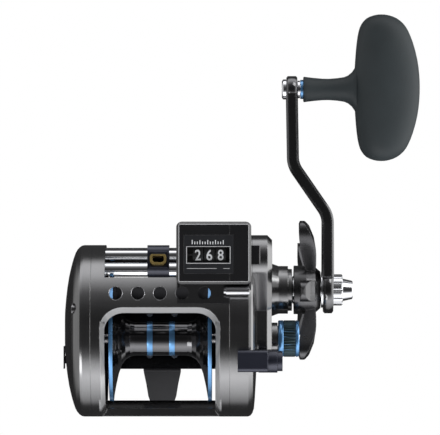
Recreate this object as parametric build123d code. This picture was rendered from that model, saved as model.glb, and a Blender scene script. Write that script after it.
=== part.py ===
from build123d import *
import math
import os

# Trolling reel with level wind, line counter and T-grip handle.  Millimetres, +Z up.
# +Y is the rod tip side, +X the handle (right) side.  Parts are drawn about the spool
# axis, which is parallel to X, and lifted by AXIS_H on export, so that the origin is
# then at the centre of the foot's underside.  Places seen from the side are (y, z).

os.makedirs("parts", exist_ok=True)


def gear_spacing(module, teeth_a, teeth_b):
    return module * (teeth_a + teeth_b) / 2


def other_leg(hypotenuse, leg):
    return math.sqrt(hypotenuse ** 2 - leg ** 2)


# ---------------------------------------------------------------------------
# Shared dimensions
# ---------------------------------------------------------------------------
AXIS_H = 42.0             # spool axis above the underside of the foot
CLEAR = 0.06              # radial clearance of running fits
FIT = 0.04                # radial clearance of seats
SLIP = 0.03               # radial clearance of parts fixed on a shaft

# body outline: hull of two equal circles, one on the spool axis, one ahead of it
BODY_R = 37.0
HULL_Y = 7.4              # forward shift of the second circle
WALL = 4.0
SEAM_X = 32.5             # frame half width, where the side pieces meet it
RING_X = 26.0             # inner faces of the two frame rings
BORE_R = 30.3             # bore through the frame rings
HOLE_R, HOLE_PITCH, HOLE_Y = 3.0, 10.35, 22.2   # row of holes in the frame's top bar

# spool and its bearings
SPOOL = (0, 0)
FLANGE_R, FLANGE_X = 29.5, 24.2
ARBOR_R = 8.1
SPINDLE_R = 2.5
BEARING_R = 5.5
LEFT_BEARING, RIGHT_BEARING = (-32.4, -28.4), (33.0, 37.0)
BEARING_BOSS_R = 8.4

# drive shaft and handle
DRIVE_MODULE, MAIN_TEETH, PINION_TEETH = 0.7, 61, 12
SHAFT_Z = -11.33
SHAFT_Y = other_leg(gear_spacing(DRIVE_MODULE, MAIN_TEETH, PINION_TEETH), SHAFT_Z)
SHAFT = (SHAFT_Y, SHAFT_Z)
SHAFT_R, THREAD_R = 4.0, 3.4
THREAD_END = 88.6
SHAFT_BUSH_R, SPINDLE_BUSH_R = 6.0, 4.0
SLEEVE_R, ROLLER_R, ROLLER_END = 5.5, 9.0, 61.2
KNOB = (118.7, SHAFT_Z)
KNOB_SPINDLE_R = 2.6

# clutch
LEVER = (-10.0, 17.0)
LEVER_SHAFT_R = 2.0
PIN_R = 0.8               # yoke pins and dog pin
YOKE_PIN_Z = (9.6, -9.6)
DOG = (3.0, -16.0)

# level wind
WORM = (32.9, 10.0)
ROD = (39.6, 7.5)
TUBE_R, ROD_R = 3.4, 2.6
TUBE_X = 27.5             # half length of the tube
WORM_BUSH_R, WORM_END_R = 3.0, 2.0
WIND_MODULE = 0.75
SPOOL_GEAR_TEETH, IDLER_BIG_TEETH, IDLER_SMALL_TEETH, WORM_GEAR_TEETH = 16, 40, 20, 16
TRAIN_X = (-39.0, -36.5)  # layer of the spool gear and the idler's big gear
CARRIAGE_X, CARRIAGE_W = -1.1, 10.3      # centre and width

# idler centre, below the line from the spool axis to the worm
spool_reach = gear_spacing(WIND_MODULE, SPOOL_GEAR_TEETH, IDLER_BIG_TEETH)
worm_reach = gear_spacing(WIND_MODULE, IDLER_SMALL_TEETH, WORM_GEAR_TEETH)
worm_distance = math.hypot(*WORM)
along = (spool_reach ** 2 - worm_reach ** 2 + worm_distance ** 2) / (2 * worm_distance)
across = other_leg(spool_reach, along)
worm_dir = (WORM[0] / worm_distance, WORM[1] / worm_distance)
IDLER = (along * worm_dir[0] + across * worm_dir[1],
         along * worm_dir[1] - across * worm_dir[0])
IDLER_AXLE_R = 1.5

# line counter
COUNTER_X, COUNTER_Y, COUNTER_Z = (7.7, 42.5), (26.6, 55.6), (25.0, 45.0)
COUNTER_WALL = 2.0
CAVITY = (COUNTER_Y[0] + COUNTER_WALL, COUNTER_Y[1] - COUNTER_WALL, 27, 43.9)   # y, z spans
PANEL = (11.3, 34.1, 31.6, 49.3)         # x and y spans
PANEL_Z = 44.2
WINDOW = (12.9, 32.4, 36.7, 43.7)        # x and y spans
COUNTER_MODULE = 0.5
WORM_PINION_TEETH, CIDLER_BIG_TEETH, CIDLER_SMALL_TEETH, WHEEL_TEETH = 12, 52, 12, 30
cidler_y, wheel_y = 37.25, 40.1
cidler_z = WORM[1] + other_leg(
    gear_spacing(COUNTER_MODULE, WORM_PINION_TEETH, CIDLER_BIG_TEETH), cidler_y - WORM[0])
wheel_z = cidler_z + other_leg(
    gear_spacing(COUNTER_MODULE, CIDLER_SMALL_TEETH, WHEEL_TEETH), wheel_y - cidler_y)
COUNTER_IDLER = (cidler_y, cidler_z)
WHEEL = (wheel_y, wheel_z)
CIDLER_POCKET_R, POCKET_END = 14.0, 37.4
CIDLER_AXLE_R, WHEEL_AXLE_R = 1.2, 1.0
WHEEL_R, WHEEL_HALF_W = 8.0, 2.35
WHEEL_X = (28.3, 23.05, 17.75)           # units, tens, hundreds


# ---------------------------------------------------------------------------
# Helpers
# ---------------------------------------------------------------------------
def block(x0, x1, y0, y1, z0, z1):
    return Pos((x0 + x1) / 2, (y0 + y1) / 2, (z0 + z1) / 2) * Box(x1 - x0, y1 - y0, z1 - z0)


def cyl_x(x0, x1, r, y=0.0, z=0.0):
    return Pos((x0 + x1) / 2, y, z) * Rot(0, 90, 0) * Cylinder(r, x1 - x0)


def cyl_z(z0, z1, r, x=0.0, y=0.0):
    return Pos(x, y, (z0 + z1) / 2) * Cylinder(r, z1 - z0)


def tube_x(x0, x1, outer, inner, y=0.0, z=0.0):
    return cyl_x(x0, x1, outer, y, z) - cyl_x(x0 - 1, x1 + 1, inner, y, z)


def prism_x(sketch, x0, x1):
    """Prism along X of a sketch drawn in (y, z)."""
    return extrude(Plane.YZ.offset(x0) * sketch, amount=x1 - x0, dir=(1, 0, 0))


def prism_z(sketch, z0, z1):
    return extrude(Plane.XY.offset(z0) * sketch, amount=z1 - z0, dir=(0, 0, 1))


def polygon(points):
    return make_face(Polyline(*points, close=True))


def turned(profile, y=0.0, z=0.0):
    """Solid of revolution about a line parallel to X, from a profile of (x, radius)."""
    return Pos(0, y, z) * revolve(polygon(profile), axis=Axis.X)


def body_outline(r):
    return Pos(HULL_Y / 2, 0) * SlotCenterToCenter(HULL_Y, 2 * r)


def hull(*circles):
    """Convex hull in (y, z) of circles (y, z, radius)."""
    edges = []
    for y, z, r in circles:
        edges += (Pos(y, z) * Circle(r)).edges()
    return make_hull(edges)


def dome(profile):
    """(x, radius) profile revolved about both body centres and swept between them."""
    face = polygon(profile)
    round_end = revolve(face, axis=Axis.X)
    upper = extrude(Rot(90, 0, 0) * face, amount=HULL_Y, dir=(0, 1, 0))
    return (round_end + Pos(0, HULL_Y, 0) * round_end) + (upper + mirror(upper, about=Plane.XY))


def ring_points(count, radius, centre=SPOOL):
    for k in range(count):
        angle = math.radians(360 / count * k)
        yield (centre[0] + radius * math.cos(angle), centre[1] + radius * math.sin(angle))


def edges_at(shape, axis, value):
    return shape.edges().filter_by(
        lambda edge: abs(getattr(edge.center(), axis) - value) < 1e-4)


def gear_outline(teeth, module, phase):
    """Spur gear sketch with stub teeth, one of them centred at phase degrees."""
    backlash, addendum, dedendum = 0.12, 0.75, 1.05      # the last two in modules
    pitch_r = module * teeth / 2
    tip_r, root_r = pitch_r + addendum * module, pitch_r - dedendum * module
    pressure = math.radians(20)
    base_r = pitch_r * math.cos(pressure)
    half_tooth = math.pi / (2 * teeth) - backlash / (2 * pitch_r)

    def involute(angle):
        return math.tan(angle) - angle

    def half_angle(r):
        half = half_tooth + involute(pressure)
        if r > base_r:
            half -= involute(math.acos(base_r / r))
        return min(half, math.pi / teeth * 0.93)

    flank = [root_r, max(root_r + 0.15 * module, pitch_r - 0.45 * module), pitch_r, tip_r]
    points = []
    for k in range(teeth):
        centre = math.radians(phase) + 2 * math.pi * k / teeth
        for side, radii in ((-1, flank), (1, flank[::-1])):
            for r in radii:
                angle = centre + side * half_angle(r)
                points.append((r * math.cos(angle), r * math.sin(angle)))
    return polygon(points)


def mesh_phase(phase_a, teeth_a, a, teeth_b, b):
    """Phase of gear b so that it meshes with gear a."""
    line = math.degrees(math.atan2(b[1] - a[1], b[0] - a[0]))
    return line + 180 + 180 / teeth_b + (line - phase_a) * teeth_a / teeth_b


def gear(teeth, module, phase, x0, x1, y, z, bore=0.0):
    wheel = Pos(0, y, z) * prism_x(gear_outline(teeth, module, phase), x0, x1)
    if bore:
        wheel = wheel - cyl_x(x0 - 1, x1 + 1, bore, y, z)
    return wheel


def group(shapes):
    return Compound([solid for shape in shapes for solid in shape.solids()])


# ---------------------------------------------------------------------------
# Frame
# ---------------------------------------------------------------------------
LEFT_SCREWS = [(15.0, 32.0), (-29.6, -15.6), (-10.0, -31.9), (29.5, -24.0)]
RIGHT_SCREWS = [(-29.6, -15.6), (-10.0, -31.9)]
FOOT_SCREWS = [(x, y) for y in (-9.0, 11.0) for x in (-6.0, 6.0)]
FOOT_SCREW_HOLE_R = 1.55

frame = prism_x(body_outline(BODY_R), -SEAM_X, SEAM_X)
frame -= prism_x(body_outline(BODY_R - WALL), -RING_X, RING_X)
frame -= cyl_x(RING_X - 1, SEAM_X + 1, BORE_R)
frame -= cyl_x(-29.8, -RING_X + 1, BORE_R)       # leaves a web on the left
# top opening, widening upward
opening = Pos(0, -23.6) * RectangleRounded(51.6, 72.8, 9)
opening_top = Pos(0, -22.0) * RectangleRounded(56.6, 77.6, 11)
frame -= prism_z(opening, 0, 34)
frame -= loft([Plane.XY.offset(32.4) * opening, Plane.XY.offset(37.6) * opening_top])
bevel = dome([(25.8, 34.2), (28.2, 37.5), (25.8, 37.5)])
bevel = bevel & block(20, 40, -50, 9, 0, 50)
frame -= bevel
frame -= mirror(bevel, about=Plane.YZ)
# windows low at the back, low at the front, and at the front for the level wind
frame -= block(-25.8, 25.8, -50, -15.6, -50, -13.7)
frame -= block(-25.8, 25.8, 27.5, 60, -50, -25)
frame -= block(-26.0, 26.0, 29.5, 60, -10, 60)
for i in range(-2, 3):
    frame -= cyl_z(25, 40, HOLE_R, i * HOLE_PITCH, HOLE_Y)
# seats of the level wind tube, the worm bushes and the guide rod
for side in (-1, 1):
    frame -= cyl_x(*sorted((side * TUBE_X, side * 25)), TUBE_R + FIT, *WORM)
    frame -= cyl_x(*sorted((side * 27, side * 34)), WORM_BUSH_R + FIT, *WORM)
    frame -= cyl_x(*sorted((side * 30, side * 25)), ROD_R + FIT, *ROD)
# bearing boss on the left web
frame += cyl_x(-31, -27.4, BEARING_BOSS_R)
frame -= cyl_x(-40, -20, 3.4)
frame -= cyl_x(-40, LEFT_BEARING[1], BEARING_R + FIT)
frame -= cyl_x(-33, -29, IDLER_AXLE_R + FIT, *IDLER)
for y, z in LEFT_SCREWS:
    frame -= cyl_x(-33, -27.5, 1.05, y, z)
for y, z in RIGHT_SCREWS:
    frame -= cyl_x(27.5, 33, 1.05, y, z)
for x, y in FOOT_SCREWS:
    frame -= cyl_z(-38, -30, FOOT_SCREW_HOLE_R, x, y)

# ---------------------------------------------------------------------------
# Foot and its screws
# ---------------------------------------------------------------------------
FOOT_SCREW_SEAT = -40.2
# (x, y) of the outline's left front quarter, from the tip to the waist
foot_quarter = [(-2.2, 35), (-5.4, 33.2), (-6.8, 29.2), (-7.75, 23.4), (-9, 17.5)]
foot_left = foot_quarter + [(x, -y) for x, y in reversed(foot_quarter)]

foot = prism_z(polygon(foot_left + [(-x, y) for x, y in reversed(foot_left)]), -AXIS_H, -30)
foot -= prism_x(body_outline(BODY_R), -20, 20)
# the ends taper to thin tongues, cut by these (y, z) outlines
back_taper = [(-40, -20), (-40, -40.2), (-33, -39.9), (-17, -38.6), (-15.5, -20)]
front_taper = [(40, -20), (40, -40.2), (33, -39.9), (22, -38.6), (20.5, -20)]
for taper in (back_taper, front_taper):
    foot -= prism_x(polygon(taper), -20, 20)
foot_screws = []
for x, y in FOOT_SCREWS:
    foot -= cyl_z(-43, -30, FOOT_SCREW_HOLE_R, x, y)
    foot -= cyl_z(-43, FOOT_SCREW_SEAT, 2.7, x, y)
    screw = cyl_z(-41.8, FOOT_SCREW_SEAT, 2.6, x, y) + cyl_z(FOOT_SCREW_SEAT, -34.0, 1.5, x, y)
    screw -= block(x - 2, x + 2, y - 0.3, y + 0.3, -43, -41.2)
    foot_screws.append(screw)

# ---------------------------------------------------------------------------
# Side screws
# ---------------------------------------------------------------------------
SIDE_HEAD_R, SIDE_SHANK_R = 2.35, 1.0
HEAD_BORE_R, SHANK_BORE_R = 2.5, 1.15
LEFT_SEAT, RIGHT_SEAT = -36.0, 42.2


def side_screw(head, shank, slots, y, z):
    """Cross slotted screw; head, shank and slots are (x0, x1) spans."""
    screw = cyl_x(*head, SIDE_HEAD_R, y, z) + cyl_x(*shank, SIDE_SHANK_R, y, z)
    screw -= block(*slots, y - 2.2, y + 2.2, z - 0.3, z + 0.3)
    screw -= block(*slots, y - 0.3, y + 0.3, z - 2.2, z + 2.2)
    return screw


side_screws = [side_screw((-37.6, LEFT_SEAT), (LEFT_SEAT, -28.0), (-38, -37.0), y, z)
               for y, z in LEFT_SCREWS]
side_screws += [side_screw((RIGHT_SEAT, 43.6), (28.0, RIGHT_SEAT), (43.0, 44), y, z)
                for y, z in RIGHT_SCREWS]

# ---------------------------------------------------------------------------
# Left side cover
# ---------------------------------------------------------------------------
# (x, radius) profiles of the outside and the inside
left_outer = [
    (-SEAM_X, 0), (-SEAM_X, BODY_R), (-36.4, BODY_R), (-37.5, 36.75), (-38.6, 36.0),
    (-39.6, 34.9), (-40.5, 33.3), (-41.3, 31.1), (-42.0, 28.7), (-42.7, 26.0),
    (-43.5, 22.4), (-44.3, 17.5), (-44.9, 12.5), (-45.4, 7.0), (-45.6, 0)]
left_inner = [
    (-SEAM_X, 0), (-SEAM_X, 34.8), (-36.4, 34.8), (-38.4, 32.6), (-39.4, 29.6),
    (-40.4, 26), (-41.6, 21), (-42.5, 14), (-43.2, 5), (-43.3, 0)]

left_solid = dome(left_outer)
left_cover = left_solid - dome(left_inner)
for y, z in LEFT_SCREWS:
    post = cyl_x(-44, -SEAM_X, 3.6, y, z) & left_solid
    left_cover += post
for y, z in LEFT_SCREWS:
    left_cover -= (cyl_x(-50, LEFT_SEAT, HEAD_BORE_R, y, z)
                   + cyl_x(-40, -30, SHANK_BORE_R, y, z))
# slot of the click button
left_cover -= block(-50, -41, -12.2, -4.8, -1.6, 1.6)

# ---------------------------------------------------------------------------
# Right side plate
# ---------------------------------------------------------------------------
def cover_outline(inset=0.0):
    """Outline of the gear cover: main gear round, spool round and upper front lobe."""
    main_round = (*SHAFT, 25.6 - inset)
    back = hull(main_round, (*SPOOL, 13.9 - inset))
    front = hull(main_round, (38.2, 20.0, 11.0 - inset))
    return back + front


COVER_WALL = 2.2
# (x, radius)
right_profile = [
    (SEAM_X, 0), (SEAM_X, 37), (41.3, 37), (42.5, 36.5), (43.4, 35.3),
    (44.1, 33.2), (44.5, 29), (44.9, 22), (45.3, 14), (45.3, 0)]

plate_solid = dome(right_profile) + prism_x(cover_outline(), 36, 43)
plate = plate_solid - prism_x(body_outline(34.0), SEAM_X - 1, 35.5)
plate -= prism_x(cover_outline(COVER_WALL), 38.4, 50)
# bearing boss, standing in from the web
plate += cyl_x(SEAM_X, 36, BEARING_BOSS_R)
plate -= cyl_x(30, RIGHT_BEARING[1], BEARING_R + FIT)
plate -= cyl_x(30, 42, 3.3)
for y, z in RIGHT_SCREWS:
    plate += cyl_x(SEAM_X, 36, 3.4, y, z) & prism_x(body_outline(BODY_R), SEAM_X, 36)
for y, z in RIGHT_SCREWS:
    plate -= cyl_x(30, 50, SHANK_BORE_R, y, z)
    plate -= cyl_x(RIGHT_SEAT, 50, HEAD_BORE_R, y, z)
# cavity of the clutch yoke, running up to the lever shaft
plate -= prism_x(hull((*SPOOL, 11.7), (*LEVER, 5.0)), 38, 42.4)
plate -= cyl_x(40, 60, LEVER_SHAFT_R + CLEAR, *LEVER)
plate -= cyl_x(30, 45, SHAFT_BUSH_R + FIT, *SHAFT)
# pockets of the counter idler, the units wheel gear and the worm end
plate -= cyl_x(SEAM_X - 1, POCKET_END, CIDLER_POCKET_R, *COUNTER_IDLER)
plate -= cyl_x(SEAM_X - 1, POCKET_END, 8.6, *WHEEL)
plate -= cyl_x(SEAM_X - 1, 37.45, 3.9, *WORM)
plate -= cyl_x(30, 42, 1.25, *COUNTER_IDLER)
plate -= cyl_x(38, 39, 0.85, *DOG)
for z in YOKE_PIN_Z:
    plate -= cyl_x(36, 40, 0.85, 0, z)

# ---------------------------------------------------------------------------
# Gear cover and its screws
# ---------------------------------------------------------------------------
COVER_FACE = 52.4
COVER_SCREWS = [(44.6, 21.0), (41.6, -24.0), (6.0, -29.0), (-10.5, -1.0)]
COVER_SCREW_SEAT = 51.2

cover = prism_x(cover_outline(), 43, COVER_FACE)
# guards the bevel round the outer face: the cover stays square-edged if it fails
try:
    cover = chamfer(edges_at(cover, "X", COVER_FACE), 2.2)
except Exception:
    pass
cover -= plate_solid
cover -= prism_x(cover_outline(COVER_WALL), 40, 50.2)
# boss round the roller clutch, then the boss on the spool axis
cover += turned([(52.0, 0), (52.0, 12.6), (52.6, 12.6), (55.9, 11.4), (60.4, 11.4),
                 (60.4, 10.0), (62.3, 10.0), (62.3, 0)], *SHAFT)
cover += cyl_x(50, 55.3, 7.6) + cyl_x(55, 60.5, 6.0)
cover -= cyl_x(50, 53.6, 6.3)
cover -= cyl_x(49, 59.0, SPINDLE_BUSH_R + FIT)
cover -= cyl_x(58, 62, 2.7)
cover -= cyl_x(49, ROLLER_END, ROLLER_R + FIT, *SHAFT)
cover -= cyl_x(49, 65, 6.2, *SHAFT)
cover_screws = []
for y, z in COVER_SCREWS:
    cover -= cyl_x(COVER_SCREW_SEAT, 60, 2.3, y, z)
    screw = cyl_x(COVER_SCREW_SEAT, 52.2, 2.1, y, z)
    screw -= block(51.7, 53, y - 1.6, y + 1.6, z - 0.3, z + 0.3)
    cover_screws.append(screw)


# ---------------------------------------------------------------------------
# Bearings, bushes, level wind tube, guide rod, roller clutch
# ---------------------------------------------------------------------------
def bearing(x0, x1):
    """Spool bearing with a shallow groove in each face."""
    inner = SPINDLE_R + CLEAR
    race = tube_x(x0, x1, BEARING_R, inner)
    middle = (BEARING_R + inner) / 2
    for groove in ((x0 - 1, x0 + 0.3), (x1 - 0.3, x1 + 1)):
        race -= tube_x(*groove, middle + 0.9, middle - 0.9)
    return race


bearings = [bearing(*LEFT_BEARING), bearing(*RIGHT_BEARING)]
bushes = [tube_x(-32.4, -TUBE_X, WORM_BUSH_R, WORM_END_R + CLEAR, *WORM),
          tube_x(TUBE_X, 32.4, WORM_BUSH_R, WORM_END_R + CLEAR, *WORM),
          tube_x(35.5, 40.0, SHAFT_BUSH_R, SHAFT_R + CLEAR, *SHAFT),
          tube_x(53.8, 58.0, SPINDLE_BUSH_R, SPINDLE_R + CLEAR)]
# slotted along its underside
wind_tube = tube_x(-TUBE_X, TUBE_X, TUBE_R, 2.7, *WORM)
wind_tube -= block(-24, 24, WORM[0] - 1.7, WORM[0] + 1.7, WORM[1] - 5, WORM[1])
guide_rod = cyl_x(-30, 30, ROD_R, *ROD)
roller_clutch = tube_x(53.0, ROLLER_END, ROLLER_R, SLEEVE_R + CLEAR, *SHAFT)
roller_clutch -= tube_x(60.8, 62, 8.0, 6.6, *SHAFT)

# ---------------------------------------------------------------------------
# Drive shaft, ratchet, main gear and drag stack
# ---------------------------------------------------------------------------
MAIN_PHASE = 0.0
drive_shaft = cyl_x(36.0, 78, SHAFT_R, *SHAFT) + cyl_x(78, THREAD_END, THREAD_R, *SHAFT)
drive_shaft = drive_shaft + cyl_x(40.02, 40.38, 7.0, *SHAFT)
drive_shaft -= cyl_x(86, 90, 1.2, *SHAFT)

ratchet = prism_x(Pos(*SHAFT) * Circle(10.0), 40.4, 42.0)
notch = [(10.6, -1.0), (10.6, 3.4), (8.0, 3.4)]      # (y, z) from the shaft axis
for k in range(8):
    angle = math.radians(45 * k)
    cos_a, sin_a = math.cos(angle), math.sin(angle)
    turned_notch = [(SHAFT_Y + cos_a * y - sin_a * z, SHAFT_Z + sin_a * y + cos_a * z)
                    for y, z in notch]
    ratchet -= prism_x(polygon(turned_notch), 40, 43)
ratchet -= cyl_x(39, 43, SHAFT_R, *SHAFT)

DRAG_FLOOR = 44.6         # floor of the main gear's recess, where the washers stack
main_gear = gear(MAIN_TEETH, DRIVE_MODULE, MAIN_PHASE, 42.6, 48.1, *SHAFT)
main_gear -= cyl_x(DRAG_FLOOR, 49, 17.0, *SHAFT)
main_gear -= cyl_x(42, 49, SHAFT_R + CLEAR, *SHAFT)
for point in ring_points(6, 10.6, SHAFT):
    main_gear -= cyl_x(42, 46, 3.2, *point)
friction_washers = [tube_x(x0, x1, 16.6, 5.2, *SHAFT)
                    for x0, x1 in ((DRAG_FLOOR, 45.4), (46.2, 47.0), (47.8, 48.4))]
keyed_washers = [tube_x(x0, x1, 16.2, SHAFT_R, *SHAFT)
                 for x0, x1 in ((45.4, 46.2), (47.0, 47.8), (48.4, 49.2))]
sleeve = tube_x(49.2, 62.2, SLEEVE_R, SHAFT_R, *SHAFT)
spring_washer = turned([(62.2, 4.05), (62.2, 5.6), (62.75, 6.6), (63.1, 6.6),
                        (62.55, 4.05)], *SHAFT)
arm_washer = tube_x(76.25, 77.15, 8.5, SHAFT_R, *SHAFT)

# ---------------------------------------------------------------------------
# Star drag wheel: five leaning blades on a bored hub, and the nut inside it
# ---------------------------------------------------------------------------
# (radius, x) of a blade seen edge on
blade_profile = [
    (9, 69.2), (15, 67.6), (21, 66.3), (27, 65.6), (32, 65.5), (34.0, 66.0), (34.5, 67.0),
    (34.0, 68.2), (31, 70.4), (25, 72.8), (19, 73.8), (14, 73.8), (9, 73.4)]
# (radius, sideways) of half the blade's outline seen along the axis, root to tip
petal_half = [(8, -3.4), (14, -3.6), (20, -4.4), (27, -5.0), (31, -4.6), (33.6, -2.8),
              (34.5, 0)]
petal_points = petal_half + [(r, -s) for r, s in reversed(petal_half[:-1])]

blade_face = polygon([(x, r) for r, x in blade_profile])
blade_slab = extrude(blade_face, amount=8, dir=(0, 0, 1))
blade_slab += extrude(blade_face, amount=8, dir=(0, 0, -1))
petal = prism_x(make_face([Spline(*petal_points), Line(petal_points[-1], petal_points[0])]),
                60, 80)
blade = blade_slab & petal
star = turned([(63.2, 0), (63.2, 11.6), (69, 11.6), (73.4, 11.0), (75.9, 8.8), (75.9, 0)],
              *SHAFT)
for k in range(5):
    star += Pos(0, *SHAFT) * Rot(90 + 72 * k, 0, 0) * blade
star -= cyl_x(62, 68.4, 8.1, *SHAFT)
star -= cyl_x(60, 80, SHAFT_R + CLEAR, *SHAFT)
star_nut = prism_x(Pos(*SHAFT) * RegularPolygon(8.0, 6), 64.2, 67.8)
star_nut -= cyl_x(60, 70, SHAFT_R + CLEAR, *SHAFT)


# ---------------------------------------------------------------------------
# Handle arm, drawn in plan at z = 0 and then lowered to the shaft
# ---------------------------------------------------------------------------
def rounded_path(points, radius, steps=6):
    """Polyline with its corners rounded to the radius."""
    path = [points[0]]
    for before, corner, after in zip(points[:-2], points[1:-1], points[2:]):
        back = (before[0] - corner[0], before[1] - corner[1])
        ahead = (after[0] - corner[0], after[1] - corner[1])
        back_len, ahead_len = math.hypot(*back), math.hypot(*ahead)
        back = (back[0] / back_len, back[1] / back_len)
        ahead = (ahead[0] / ahead_len, ahead[1] / ahead_len)
        half = math.acos(back[0] * ahead[0] + back[1] * ahead[1]) / 2
        trim = radius / math.tan(half)
        bisector = (back[0] + ahead[0], back[1] + ahead[1])
        reach = radius / math.sin(half) / math.hypot(*bisector)
        cx, cy = corner[0] + bisector[0] * reach, corner[1] + bisector[1] * reach
        start = math.atan2(corner[1] + back[1] * trim - cy, corner[0] + back[0] * trim - cx)
        end = math.atan2(corner[1] + ahead[1] * trim - cy, corner[0] + ahead[0] * trim - cx)
        turn = (end - start + math.pi) % (2 * math.pi) - math.pi
        for i in range(steps + 1):
            angle = start + turn * i / steps
            path.append((cx + radius * math.cos(angle), cy + radius * math.sin(angle)))
    return path + [points[-1]]


ARM_HALF_T = 2.6
KNOB_Y = KNOB[0]
# (x, y) centre line, from the shaft to the knob
arm_path = rounded_path([(79.6, SHAFT_Y - 2), (79.6, 58.6), (62.9, 82.6), (62.3, KNOB_Y)], 13.0)
edge_a, edge_b = [], []
for i, (x, y) in enumerate(arm_path):
    before = arm_path[max(i - 1, 0)]
    after = arm_path[min(i + 1, len(arm_path) - 1)]
    dx, dy = after[0] - before[0], after[1] - before[1]
    scale_t = ARM_HALF_T / math.hypot(dx, dy)
    edge_a.append((x - dy * scale_t, y + dx * scale_t))
    edge_b.append((x + dy * scale_t, y - dx * scale_t))
arm = extrude(Plane.XY.offset(-14) * polygon(edge_a + edge_b[::-1]), amount=28, dir=(0, 0, 1))
arm_side = hull((SHAFT_Y, 0, 10.5), (52, 0, 7.2)) + hull((52, 0, 7.2), (KNOB_Y - 2, 0, 6.2))
arm = arm & prism_x(arm_side, 50, 95)
arm = arm + cyl_x(77.2, 82.0, 11.2, SHAFT_Y, 0)
arm = arm + cyl_x(59.8, 64.8, 6.4, KNOB_Y, 0)
arm -= cyl_x(70, 90, SHAFT_R + SLIP, SHAFT_Y, 0)
# flat faces at the shaft end and the knob end
arm -= block(82.0, 95, 0, 60, -20, 20) + block(70, 77.2, 0, 50, -20, 20)
arm -= block(50, 59.7, 60, 200, -20, 20) + block(64.9, 70, 110, 200, -20, 20)
arm -= cyl_x(50, 70, KNOB_SPINDLE_R, KNOB_Y, 0)
arm = Pos(0, 0, SHAFT_Z) * arm

handle_nut = turned([(82.0, 0), (82.0, 7.5), (86.0, 7.5), (86.5, 7.0), (86.5, 5.4),
                     (91.0, 4.4), (91.3, 4.0), (91.3, 0)], *SHAFT)
for point in ring_points(12, 7.6, SHAFT):
    handle_nut -= cyl_x(81, 86.6, 0.8, *point)
handle_nut -= cyl_x(80, THREAD_END, THREAD_R, *SHAFT)
handle_nut -= cyl_x(80, 82.0, 4.2, *SHAFT)

# ---------------------------------------------------------------------------
# Knob: spindle, screw, collar and T grip
# ---------------------------------------------------------------------------
knob_spindle = cyl_x(60.0, 96, KNOB_SPINDLE_R, *KNOB) + cyl_x(65.1, 66.2, 4.2, *KNOB)
knob_spindle -= cyl_x(94, 97, 1.2, *KNOB)
knob_screw = turned([(57.6, 0), (57.6, 4.0), (58.2, 4.8), (59.6, 4.8), (59.6, 0)], *KNOB)
knob_screw -= cyl_x(57, 58.8, 1.6, *KNOB)
knob_collar = tube_x(66.4, 67.7, 4.6, KNOB_SPINDLE_R + CLEAR, *KNOB)

GRIP_Y = 119.5
# elliptical sections of the bar's back half: y from GRIP_Y, x left, x right, z depth
grip_half = [
    (-35.1, 100.5, 110.0, 13), (-33.4, 97.8, 112.6, 19), (-30.5, 95.4, 116.0, 22),
    (-27.6, 94.2, 117.9, 23.4), (-21.9, 93.2, 120.3, 24.6), (-13.3, 92.5, 122.6, 25.4),
    (0, 92.0, 123.6, 26)]
grip_sections = grip_half + [(-dy, *rest) for dy, *rest in reversed(grip_half[:-1])]
grip_faces = []
for dy, left, right, depth in grip_sections:
    plane = Plane(origin=((left + right) / 2, GRIP_Y + dy, SHAFT_Z),
                  x_dir=(1, 0, 0), z_dir=(0, 1, 0))
    grip_faces.append(plane * Ellipse((right - left) / 2, depth / 2))
grip = loft(grip_faces)
stem = Pos(0, *KNOB) * revolve(make_face([
    Line((67.8, 0), (67.8, 6.1)),
    Spline((67.8, 6.1), (73, 5.4), (80, 5.1), (87.3, 5.9), (90.5, 7.6), (94, 11.5),
           tangents=[(1, -0.2), (1, 1.4)]),
    Line((94, 11.5), (94, 0)),
    Line((94, 0), (67.8, 0))]), axis=Axis.X)
grip = grip + stem
grip -= cyl_x(60, 96.6, KNOB_SPINDLE_R + CLEAR, *KNOB)

# ---------------------------------------------------------------------------
# Spool, its shaft and gears
# ---------------------------------------------------------------------------
SPOOL_GEAR_PHASE = 180 / SPOOL_GEAR_TEETH
# (x, radius) of the right half, from the bore out to the rim and in to the arbor
spool_half = [
    (FLANGE_X, SPINDLE_R), (FLANGE_X, 6.5), (21.0, 8.5), (21.2, 11.5), (22.6, 26.5),
    (FLANGE_X, 27.4), (FLANGE_X, FLANGE_R), (22.5, FLANGE_R), (21.3, 22.5), (20.0, 16.6),
    (18.5, 12.6), (16.7, 10.1), (14.6, 8.7), (12.5, ARBOR_R)]
spool = turned(spool_half + [(-x, r) for x, r in reversed(spool_half)])
spool_shaft = cyl_x(-42.6, 58.6, SPINDLE_R)
spool_gear = gear(SPOOL_GEAR_TEETH, WIND_MODULE, SPOOL_GEAR_PHASE, *TRAIN_X, *SPOOL,
                  bore=SPINDLE_R)
spool_gear += tube_x(TRAIN_X[1], -32.6, 3.6, SPINDLE_R)
click_gear = prism_x(Circle(5.6), -41.0, -39.4)
for point in ring_points(18, 5.9):
    click_gear -= cyl_x(-42, -39, 0.75, *point)
click_gear -= cyl_x(-43, -38, SPINDLE_R)

# pinion with a groove for the clutch yoke
YOKE_GROOVE_R = 3.05
pinion_phase = mesh_phase(MAIN_PHASE, MAIN_TEETH, SHAFT, PINION_TEETH, SPOOL)
pinion = gear(PINION_TEETH, DRIVE_MODULE, pinion_phase, 42.2, 49.6, *SPOOL)
pinion += cyl_x(38.2, 39.3, 4.8) + cyl_x(39.2, 40.8, YOKE_GROOVE_R) + cyl_x(40.8, 42.2, 3.55)
pinion -= cyl_x(30, 60, SPINDLE_R + CLEAR)

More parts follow.
